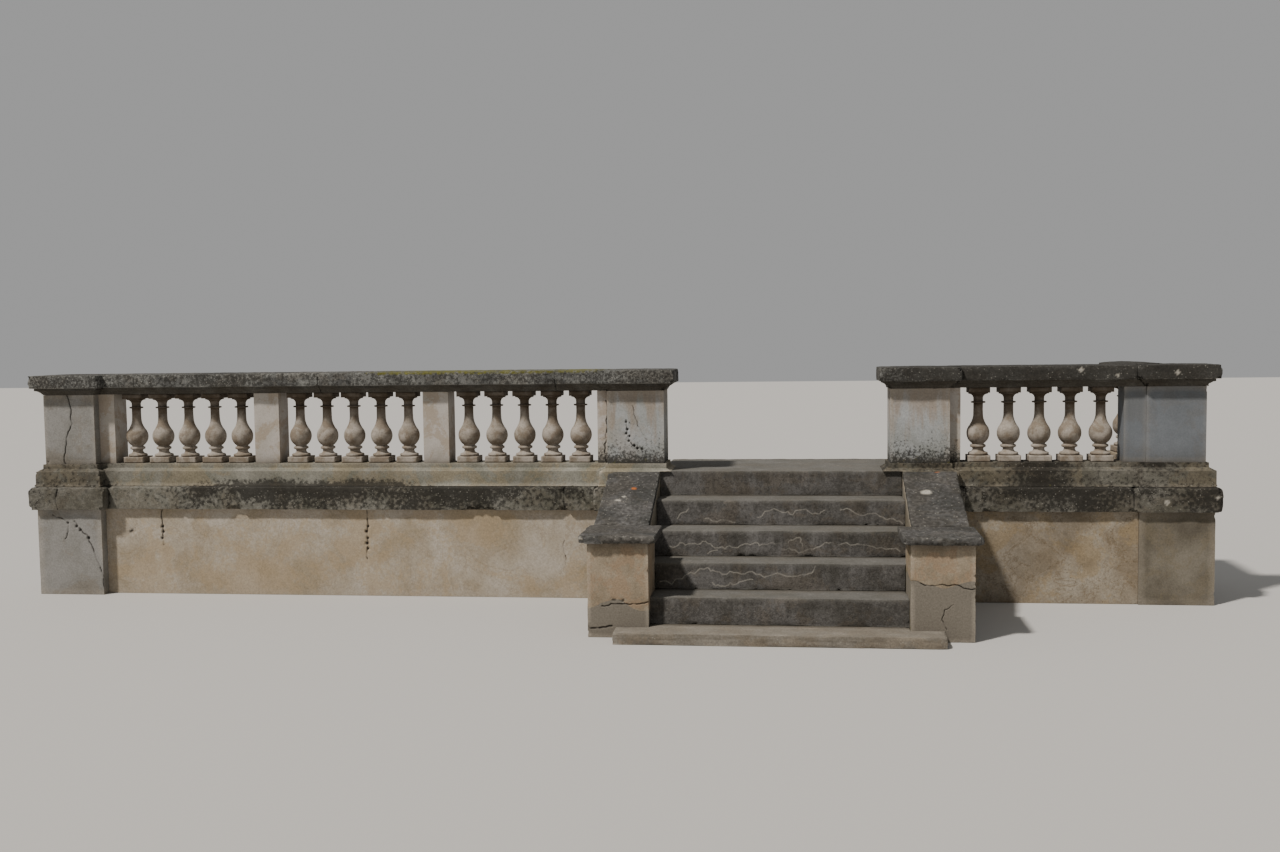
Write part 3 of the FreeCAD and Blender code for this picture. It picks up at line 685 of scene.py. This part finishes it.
def stepShares(places, normals, low, high):
    upright = 1 - np.abs(normals[:, 2])
    top = clipped(places[:, 2], high[2] - 0.02, high[2] - 0.006)
    back = clipped(places[:, 1], high[1] - 0.09, high[1] - 0.04) * (1 - upright)
    tone = ragged(places, 0.3, 41)
    return {"crust": upright * (0.15 + 0.55 * tone) * (1 - top), "dirtAndShade": back * 0.7 + upright * 0.25 * tone,
            "worn": np.maximum((1 - upright) * 0.5, top * 0.3)}


def rampShares(places, normals, low, high):
    return {"crust": 0.3 + 0.4 * ragged(places, 0.2, 51), "moss": 0.12}


# height of the cement patch on each pedestal
patchTop = {"left": 0.215, "right": 0.365}


def pedestalShares(places, normals, low, high):
    left = places[:, 0] < 0
    wave = 0.03 * np.sin(places[:, 0] * 17) + 0.05 * (patches(places, 0.09, 61) - 0.5)
    line = np.where(left, patchTop["left"], patchTop["right"]) + wave
    rise = places[:, 2]
    # a band just under the cap darkened with painted shadow of the cap; the foot really dirtier
    return {"cement": 1 - clipped(rise, line - 0.01, line + 0.01), "dirtAndShade": 0.5 * clipped(rise, 0.57, 0.61)
            + 0.3 * np.exp(-rise / 0.05), "moss": 0.35 * (1 - left) * clipped(-normals[:, 0], 0.6, 0.9)}


def coreShares(places, normals, low, high):
    return {"dirtAndShade": 0.3 * ragged(places, 0.3, 71), "crust": 0.2 * ragged(places, 0.3, 72)}


lookOf = {
    "coping": ("crustedCopingLimestone", copingShares,
               {"voxel": 0.0125, "lumps": 0.0018, "lumpSize": 0.05, "loss": 0.004, "rounding": 1,
                "chips": 70, "chipSize": (0.008, 0.02)}),
    "band": ("blackenedBandLimestone", bandShares,
             {"voxel": 0.0125, "lumps": 0.0022, "lumpSize": 0.045, "loss": 0.004, "rounding": 1,
              "chips": 70, "chipSize": (0.008, 0.022)}),
    "base": ("greyedBaseLimestone", baseShares,
             {"voxel": 0.0125, "lumps": 0.0008, "loss": 0.002, "chips": 30, "chipSize": (0.008, 0.015)}),
    "die": ("rubbedPierLimestone", dieShares, {"voxel": 0.018, "lumps": 0.0005, "loss": 0.001, "chips": 5}),
    "post": ("dressedPostLimestone", dieShares, {"voxel": 0.018, "lumps": 0.0005, "loss": 0.001, "chips": 3}),
    "wall": ("stainedWallLimestone", wallShares,
             {"voxel": 0.024, "lumps": 0.0012, "lumpSize": 0.2, "loss": 0.002, "chips": 8}),
    "step": ("troddenStepStone", stepShares,
             {"voxel": 0.016, "lumps": 0.0012, "loss": 0.003, "rounding": 1, "chips": 20,
              "chipSize": (0.01, 0.02)}),
    "ramp": ("lichenedRampLimestone", rampShares,
             {"voxel": 0.0115, "lumps": 0.0026, "lumpSize": 0.05, "loss": 0.006, "rounding": 2, "chips": 40,
              "chipSize": (0.01, 0.026)}),
    "pedestal": ("patchedPedestalStone", pedestalShares,
                 {"voxel": 0.0135, "lumps": 0.0016, "lumpSize": 0.08, "loss": 0.003, "chips": 18}),
    "core": ("roughCoreMasonry", coreShares, {"voxel": 0.036, "lumps": 0.004, "lumpSize": 0.1}),
}


def kindOf(node):
    if node.startswith("step_") or node in ("bottom_slab", "landing_slab"):
        return "step"
    if node.endswith("pedestal_cap") or node.endswith("ramp_slab"):
        return "ramp"
    for ending, kind in (("_cap", "coping"), ("coping", "coping"), ("band", "band"), ("base", "base"),
                         ("die", "die"), ("pedestal", "pedestal"), ("core", "core")):
        if node.endswith(ending):
            return kind
    if "respond" in node or "divider" in node:
        return "post"
    return "wall"


# damage that belongs to one stone, measured from the lowest corner of its box
ownWear = {
    "left_end_pier_die": {"cracks": [{"points": [
        (0.19, 0, 0.55), (0.2, 0, 0.517), (0.225, 0, 0.42), (0.228, 0, 0.312), (0.187, 0, 0.227),
        (0.166, 0, 0.13), (0.165, 0, -0.01)]}]},
    "left_end_pier_base": {"cracks": [{"points": [
        (0.225, 0.02, 0.175), (0.21, 0.0, 0.11), (0.181, 0, 0.0)]}]},
    "left_end_pier_band": {"cracks": [{"points": [(0.239, 0, 0.179), (0.228, 0, 0.118), (0.236, 0, 0.0)]}]},
    "left_end_pier_plinth": {"cracks": [
        {"points": [(0.123, 0, 0.618), (0.244, 0, 0.56), (0.245, 0, 0.486), (0.218, 0, 0.431)],
         "width": 0.005},
        {"points": [(0.298, 0, 0.572), (0.364, 0, 0.483), (0.404, 0, 0.463), (0.429, 0, 0.394),
                    (0.458, 0, 0.308), (0.495, 0, 0.211), (0.522, 0, 0.06)]}],
        "pits": [(0.315, 0, 0.53, 0.014), (0.345, 0, 0.5, 0.013), (0.41, 0, 0.44, 0.016),
                 (0.245, 0, 0.556, 0.012)]},
    "left_wall": {"cracks": [
        {"points": [(0.458, 0, 0.655), (0.458, 0, 0.541), (0.456, 0, 0.478), (0.461, 0, 0.377)]},
        {"points": [(2.09, 0, 0.65), (2.092, 0, 0.571), (2.085, 0, 0.464), (2.082, 0, 0.349),
                    (2.084, 0, 0.281)]},
        {"points": [(3.604, 0, 0.435), (3.595, 0, 0.345), (3.609, 0, 0.285)], "width": 0.004}],
        "pits": [(0.205, 0, 0.489, 0.022), (0.455, 0, 0.52, 0.016), (0.462, 0, 0.48, 0.014),
                 (0.45, 0, 0.43, 0.014), (2.095, 0, 0.53, 0.014), (2.08, 0, 0.49, 0.016),
                 (2.09, 0, 0.44, 0.014), (2.083, 0, 0.40, 0.017), (2.09, 0, 0.36, 0.013)]},
    "left_inner_pier_die": {"cracks": [
        {"points": [(0.141, 0, 0.32), (0.147, 0, 0.246), (0.161, 0, 0.173), (0.219, 0, 0.113),
                    (0.256, 0, 0.10)], "width": 0.005},
        {"points": [(0.187, 0, 0.43), (0.201, 0, 0.378), (0.222, 0, 0.312), (0.251, 0, 0.239),
                    (0.294, 0, 0.172)], "width": 0.0035, "dark": 0.45}],
        "pits": [(0.141, 0, 0.305, 0.011), (0.17, 0, 0.3, 0.009), (0.15, 0, 0.25, 0.013),
                 (0.14, 0, 0.22, 0.012), (0.165, 0, 0.2, 0.012), (0.16, 0, 0.165, 0.011),
                 (0.2, 0, 0.13, 0.014), (0.222, 0, 0.11, 0.014), (0.256, 0, 0.106, 0.011),
                 (0.211, 0, 0.047, 0.011)]},
    "left_inner_respond": {"cracks": [{"points": [
        (0.066, 0, 0.46), (0.072, 0, 0.384), (0.066, 0, 0.317), (0.07, 0, 0.243), (0.066, 0, 0.169),
        (0.056, 0, 0.109), (0.062, 0, 0.0)]}]},
    "left_pedestal": {"cracks": [
        {"points": [(0.095, 0, 0.205), (0.154, 0, 0.219), (0.252, 0, 0.22), (0.343, 0, 0.221),
                    (0.40, 0, 0.235)]},
        {"points": [(0.0, 0, 0.066), (0.08, 0, 0.061), (0.159, 0, 0.075)], "width": 0.008}],
        "pits": [(0.172, 0, 0.245, 0.012), (0.229, 0, 0.241, 0.012)]},
    "right_pedestal": {"cracks": [
        {"points": [(0.0, 0, 0.387), (0.056, 0, 0.375), (0.118, 0, 0.356), (0.179, 0, 0.363),
                    (0.24, 0, 0.358), (0.301, 0, 0.358), (0.398, 0, 0.34)], "width": 0.005},
        {"points": [(0.263, 0, 0.238), (0.21, 0, 0.206), (0.192, 0, 0.142), (0.223, 0, 0.079)],
         "width": 0.004, "dark": 0.6}]},
    "left_band": {"bites": [(1.04, 0.0, -0.004, 0.036), (1.08, 0.0, -0.006, 0.034), (2.9, 0.0, -0.008, 0.042),
                            (2.97, 0.0, -0.01, 0.048), (3.04, 0.0, -0.008, 0.04), (3.595, 0.0, -0.006, 0.042),
                            (2.2, 0.0, -0.008, 0.022), (0.6, 0.0, -0.006, 0.02)]},
    "right_band": {"bites": [(0.195, 0.0, -0.012, 0.03), (0.25, 0.0, -0.012, 0.024)]},
    "corner_pier_band": {
        "bites": [(0.63, 0.0, 0.06, 0.04), (0.63, 0.0, 0.0, 0.05), (0.63, 0.0, 0.14, 0.026)],
        "spots": [("lichen", 0.22, 0, 0.075, 0.02), ("lichen", 0.56, 0, 0.11, 0.014)]},
    "corner_pier_cap": {"spots": [("lichen", 0.26, 0, 0.10, 0.017)]},
    "right_coping": {"spots": [("lichen", 0.9, 0, 0.12, 0.018), ("lichen", 1.15, 0, 0.09, 0.014)]},
    "left_ramp_slab": {"spots": [("orange", 0.22, 0.5, 0.235, 0.02), ("lichen", 0.12, 0.33, 0.18, 0.022),
                                 ("lichen", 0.16, 0.38, 0.2, 0.014)]},
    "right_ramp_slab": {"spots": [("lichen", 0.14, 0.44, 0.225, 0.04), ("orange", 0.24, 0.78, 0.33, 0.02)]},
    "step_4": {"veins": [
        [(0.148, 0.042), (0.185, 0.086), (0.229, 0.113)],
        [(0.344, 0.042), (0.415, 0.025), (0.485, 0.034), (0.556, 0.017)],
        [(0.715, 0.053), (0.767, 0.097), (0.89, 0.089), (0.96, 0.071), (1.082, 0.089), (1.151, 0.081),
         (1.186, 0.107)],
        [(1.29, 0.108), (1.376, 0.099), (1.48, 0.082), (1.548, 0.077), (1.634, 0.048), (1.72, 0.013)]]},
    "step_3": {"veins": [
        [(0.121, 0.066), (0.19, 0.093), (0.27, 0.084), (0.345, 0.102), (0.414, 0.068), (0.5, 0.051),
         (0.568, 0.06), (0.637, 0.087), (0.705, 0.096), (0.77, 0.084), (0.841, 0.088), (0.926, 0.089),
         (1.011, 0.132), (1.027, 0.072)],
        [(0.892, 0.054), (0.977, 0.046), (1.078, 0.055), (1.163, 0.082), (1.247, 0.091), (1.347, 0.083),
         (1.448, 0.083), (1.498, 0.075), (1.615, 0.059), (1.681, 0.042)],
        [(0.379, 0.016), (0.448, 0.042)]]},
    "step_2": {"veins": [
        [(0.078, 0.051), (0.23, 0.07), (0.31, 0.105), (0.398, 0.147), (0.448, 0.122), (0.547, 0.123),
         (0.647, 0.107), (0.746, 0.103), (0.861, 0.114), (0.993, 0.094), (1.042, 0.102), (1.108, 0.161)],
        [(0.43, 0.046), (0.48, 0.022), (0.547, 0.047), (0.63, 0.057), (0.696, 0.069)]]},
    "left_pedestal_cap": {"bites": [(0.0, 0.0, -0.004, 0.04), (0.33, -0.006, -0.004, 0.026),
                                    (0.49, 0.0, -0.004, 0.026)],
                          "spots": [("lichen", 0.012, 0.004, 0.016, 0.02)]},
    "right_pedestal_cap": {"bites": [(0.49, 0.0, -0.004, 0.026), (0.34, 0.0, -0.004, 0.024)]},
    "right_inner_pier_cap": {"bites": [(0.0, 0.0, 0.15, 0.05)]},
}

# joints between the stones of the long courses
jointsOf = {
    "left_coping": [("x", place) for place in (-3.43, -1.62)],
    "left_band": [("x", -1.56)],
    "landing_slab": [("y", 0.3)],
}

otherLook = {"corner_pier_die": "washedCornerCement", "corner_respond": "washedCornerCement",
             "return_respond": "washedCornerCement", "corner_pier_plinth": "shadeDarkenedPlinthLimestone",
             "left_end_pier_plinth": "greyPlinthLimestone", "left_end_pier_die": "greyPlinthLimestone",
             "right_wall": "ochreWallLimestone", "return_wall": "ochreWallLimestone",
             "right_inner_pier_plinth": "ochreWallLimestone", "bottom_slab": "scouredSlabStone",
             "left_cheek_wall": "shadeDarkenedPlinthLimestone", "right_cheek_wall": "shadeDarkenedPlinthLimestone"}

balusterNodes = sorted(name for name in nodes if "balusters" in name)
for number, node in enumerate(sorted(set(nodes) - set(balusterNodes))):
    lookName, shares, wear = lookOf[kindOf(node)]
    lookName = otherLook.get(node, lookName)
    wear = {**wear, **ownWear.get(node, {}), "cuts": jointsOf.get(node, ())}
    wornPiece(node, lookName, wear, shares, 3 + number)
print("worn stones made")


# balusters: a turned shaft between two square blocks, sizes in metres above the block's foot
baluster = {
    "height": 0.535, "blockSide": 0.158, "blockHeight": 0.046, "abacusSide": 0.150,
    "abacusHeight": 0.038, "spacing": 0.214, "segments": 36, "blockVoxel": 0.0125,
    "unevenness": 0.0012, "lean": 0.0015,
}


# points on the arc from start to finish about the centre, the short way round
def arc(centre, start, finish, count):
    first = math.atan2(start[1] - centre[1], start[0] - centre[0])
    last = math.atan2(finish[1] - centre[1], finish[0] - centre[0])
    sweep = (last - first + math.pi) % (2 * math.pi) - math.pi
    radius = math.dist(centre, start)
    return [(centre[0] + radius * math.cos(first + sweep * step / count),
             centre[1] + radius * math.sin(first + sweep * step / count)) for step in range(count + 1)]


def balusterProfile():
    top = baluster["height"] - baluster["abacusHeight"]
    points = [(0.0, 0.046), (0.060, 0.046)]
    points += arc((0.060, 0.057), (0.060, 0.0462), (0.071, 0.057), 5)
    points += arc((0.060, 0.057), (0.071, 0.057), (0.060, 0.068), 5)[1:]
    points += [(0.052, 0.070), (0.046, 0.074), (0.041, 0.081), (0.038, 0.090), (0.040, 0.097), (0.046, 0.102)]
    points += [(0.053, 0.1035), (0.0555, 0.107), (0.056, 0.112), (0.0555, 0.118), (0.053, 0.121)]
    points += [(0.047, 0.123), (0.042, 0.127), (0.042, 0.130)]
    points += arc((-0.007, 0.204), (0.0425, 0.1305), (0.060, 0.262), 16)[1:]
    points += arc((0.179, 0.345), (0.0605, 0.263), (0.034, 0.345), 8)[1:]
    points += [(0.034, 0.372), (0.034, 0.398), (0.034, 0.4215), (0.043, 0.4222)]
    points += arc((0.046, 0.428), (0.046, 0.422), (0.052, 0.428), 4)
    points += arc((0.046, 0.428), (0.052, 0.428), (0.046, 0.434), 4)[1:]
    points += [(0.041, 0.4345), (0.034, 0.435), (0.034, 0.446)]
    points += arc((0.068, 0.454), (0.034, 0.454), (0.068, 0.488), 8)
    points += [(0.0695, 0.4885), (0.0695, top), (0.0, top)]
    return points


def addCuboid(bm, centre, size):
    made = bmesh.ops.create_cube(bm, size=1.0)
    bmesh.ops.scale(bm, vec=size, verts=made["verts"])
    bmesh.ops.translate(bm, vec=centre, verts=made["verts"])


def balusterRow(node, seed):
    low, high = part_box(node)
    alongY = high.y - low.y > high.x - low.x
    span = (high.y - low.y) if alongY else (high.x - low.x)
    count = round((span - baluster["blockSide"]) / baluster["spacing"]) + 1
    halfSide = baluster["blockSide"] / 2
    profile = balusterProfile()
    whole = bmesh.new()
    random = np.random.default_rng(seed)
    for number in range(count):
        shift = number * baluster["spacing"] + halfSide
        centre = Vector((low.x + halfSide, low.y + shift, low.z) if alongY
                        else (low.x + shift, low.y + halfSide, low.z))
        blocks = bmesh.new()
        addCuboid(blocks, centre + Vector((0, 0, baluster["blockHeight"] / 2)),
                  (baluster["blockSide"], baluster["blockSide"], baluster["blockHeight"]))
        addCuboid(blocks, centre + Vector((0, 0, baluster["height"] - baluster["abacusHeight"] / 2)),
                  (baluster["abacusSide"], baluster["abacusSide"], baluster["abacusHeight"]))
        skin = skinned(blocks, baluster["blockVoxel"])
        blocks.free()
        whole.from_mesh(skin)
        bpy.data.meshes.remove(skin)
        spin = random.uniform(0, 6.28)
        most = baluster["lean"]
        lean = Vector((random.uniform(-most, most), random.uniform(-most, most), 0))
        rings = []
        for radius, height in profile:
            if radius == 0:
                rings.append([whole.verts.new(centre + Vector((0, 0, height)))])
                continue
            rings.append([whole.verts.new(centre + lean * (height * 2) + Vector((
                radius * math.cos(spin + 2 * math.pi * step / baluster["segments"]),
                radius * math.sin(spin + 2 * math.pi * step / baluster["segments"]), height)))
                for step in range(baluster["segments"])])
        for lower, upper in zip(rings[:-1], rings[1:]):
            for step in range(baluster["segments"]):
                after = (step + 1) % baluster["segments"]
                if len(lower) == 1:
                    whole.faces.new((lower[0], upper[after], upper[step]))
                elif len(upper) == 1:
                    whole.faces.new((lower[step], lower[after], upper[0]))
                else:
                    whole.faces.new((lower[step], lower[after], upper[after], upper[step]))
    bmesh.ops.recalc_face_normals(whole, faces=whole.faces)
    mesh = bpy.data.meshes.new(f"{node}_stone")
    whole.to_mesh(mesh)
    whole.free()
    places, normals = skinPlaces(mesh)
    places += normals * ((ragged(places, 0.045, seed) - 0.6) * 2 * baluster["unevenness"])[:, None]
    places = np.clip(places, low, high)
    rise = (places[:, 2] - low.z) / (high.z - low.z)
    neck = clipped(rise, 0.55, 0.8)
    # the neck darkened with painted shade from the coping over real brown staining, the undersides darkened
    # with painted shade
    shares = {"upper": rise, "dirtAndShade": neck * 0.75 + 0.45 * clipped(-normals[:, 2], 0.2, 0.8),
              "crust": 0.06, "worn": 0.25 * clipped(normals[:, 2], 0.3, 0.9)}
    addPiece(node, mesh, places, shares, "turnedBalusterLimestone")


for number, node in enumerate(balusterNodes):
    balusterRow(node, 90 + number)
print("balusters made")

triangles = sum(len(face.vertices) - 2 for item in scene.objects if item.type == "MESH"
                and item.name.endswith("_stone") for face in item.data.polygons)
print("triangles in the stones:", triangles)
